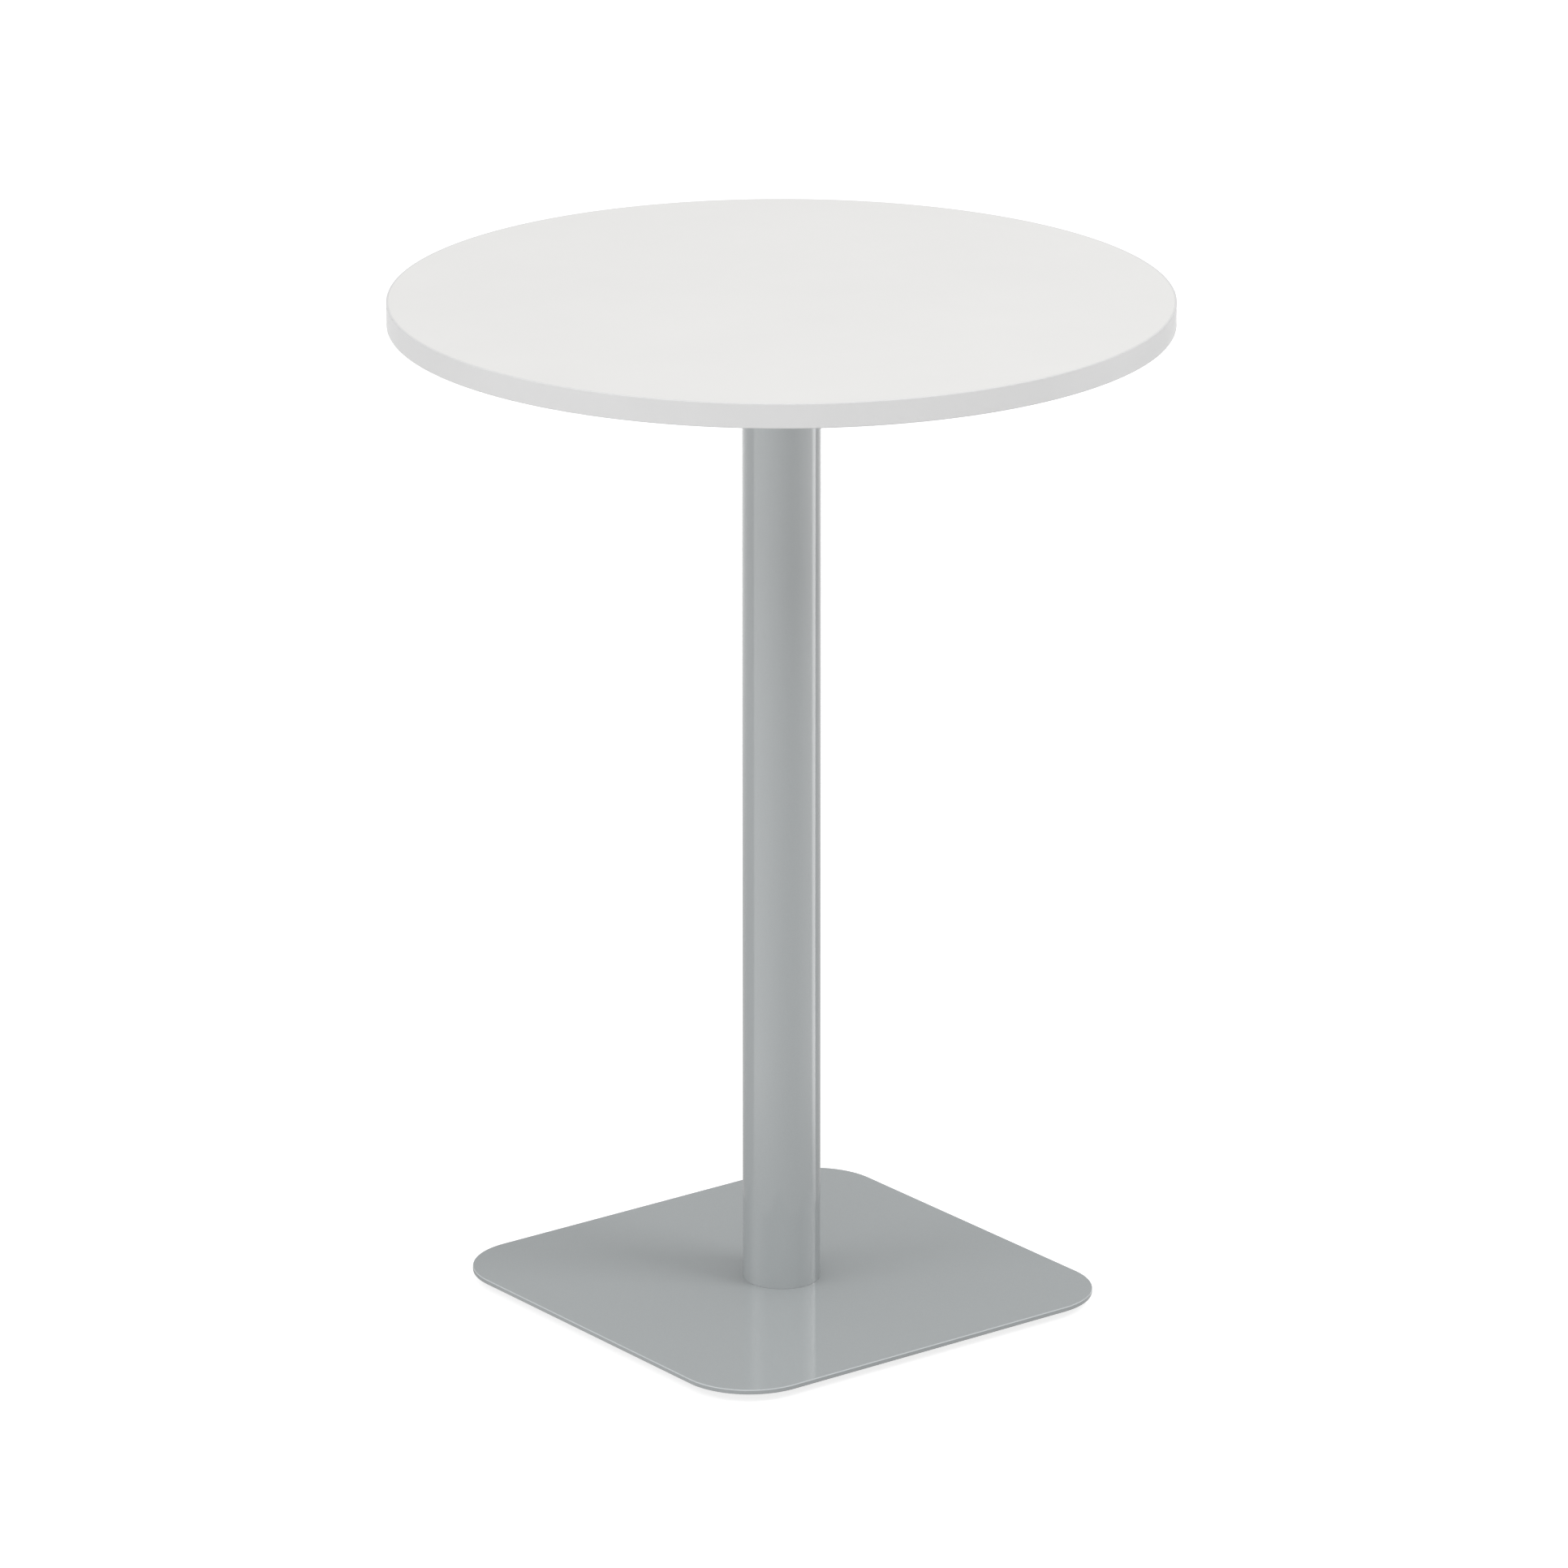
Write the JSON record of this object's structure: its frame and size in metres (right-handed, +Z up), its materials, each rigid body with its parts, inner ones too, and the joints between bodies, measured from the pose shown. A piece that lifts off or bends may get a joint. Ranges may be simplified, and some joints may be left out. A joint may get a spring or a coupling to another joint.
{
  "type": "high table",
  "caption": "Round white high table on a silver steel column and a flat square base plate with rounded corners, standing on screw-adjusted levelling feet.",
  "frame": {"origin": "on the floor under the middle of the table", "axes": "+Z up along the column; X and Y along the base plate's sides, front towards -Y"},
  "size_m": [0.7899, 0.79, 1.06],
  "materials": {
    "chipboard": "raw",
    "white_laminate": "matt",
    "white_edge_band": "matt",
    "silver_powder_coat": "satin",
    "bare_steel": "as rolled",
    "zinc_plated_steel": "zinc plated",
    "dark_grey_plastic": "moulded"
  },
  "bodies": {
    "table": {"tabletop_core": "chipboard", "tabletop_laminate": "white_laminate", "tabletop_backer": "white_laminate", "edge_band": "white_edge_band", "threaded_inserts": "zinc_plated_steel", "mounting_plate": "silver_powder_coat", "mounting_screws": "zinc_plated_steel", "mounting_washers": "zinc_plated_steel", "column_tube": "silver_powder_coat", "column_top_disc": "bare_steel", "column_base_disc": "bare_steel", "column_top_bolts": "zinc_plated_steel", "column_base_bolts": "zinc_plated_steel", "column_base_washers": "zinc_plated_steel", "base_plate": "silver_powder_coat", "foot_studs": "zinc_plated_steel"},
    "pad_front_left": {"foot_pad_front_left": "dark_grey_plastic"},
    "bush_front_left": {"foot_bush_front_left": "zinc_plated_steel"},
    "pad_front_right": {"foot_pad_front_right": "dark_grey_plastic"},
    "bush_front_right": {"foot_bush_front_right": "zinc_plated_steel"},
    "pad_rear_left": {"foot_pad_rear_left": "dark_grey_plastic"},
    "bush_rear_left": {"foot_bush_rear_left": "zinc_plated_steel"},
    "pad_rear_right": {"foot_pad_rear_right": "dark_grey_plastic"},
    "bush_rear_right": {"foot_bush_rear_right": "zinc_plated_steel"}
  },
  "joints": [
    {"name": "foot_lift_front_left", "type": "slide", "parent": "table", "child": "pad_front_left", "axis": [0, 0, -1], "range_m": [0, 0.003]},
    {"name": "foot_turn_front_left", "type": "hinge", "parent": "pad_front_left", "child": "bush_front_left", "pos_m": [-0.19, -0.19, 0.005], "axis": [0, 0, -1], "range_deg": [0, 864]},
    {"name": "foot_lift_front_right", "type": "slide", "parent": "table", "child": "pad_front_right", "axis": [0, 0, -1], "range_m": [0, 0.003]},
    {"name": "foot_turn_front_right", "type": "hinge", "parent": "pad_front_right", "child": "bush_front_right", "pos_m": [0.19, -0.19, 0.005], "axis": [0, 0, -1], "range_deg": [0, 864]},
    {"name": "foot_lift_rear_left", "type": "slide", "parent": "table", "child": "pad_rear_left", "axis": [0, 0, -1], "range_m": [0, 0.003]},
    {"name": "foot_turn_rear_left", "type": "hinge", "parent": "pad_rear_left", "child": "bush_rear_left", "pos_m": [-0.19, 0.19, 0.005], "axis": [0, 0, -1], "range_deg": [0, 864]},
    {"name": "foot_lift_rear_right", "type": "slide", "parent": "table", "child": "pad_rear_right", "axis": [0, 0, -1], "range_m": [0, 0.003]},
    {"name": "foot_turn_rear_right", "type": "hinge", "parent": "pad_rear_right", "child": "bush_rear_right", "pos_m": [0.19, 0.19, 0.005], "axis": [0, 0, -1], "range_deg": [0, 864]}
  ],
  "couplings": [
    {"joint": "foot_lift_front_left", "follows": "foot_turn_front_left", "m_per_rad": 0.00019894},
    {"joint": "foot_lift_front_right", "follows": "foot_turn_front_right", "m_per_rad": 0.00019894},
    {"joint": "foot_lift_rear_left", "follows": "foot_turn_rear_left", "m_per_rad": 0.00019894},
    {"joint": "foot_lift_rear_right", "follows": "foot_turn_rear_right", "m_per_rad": 0.00019894}
  ]
}
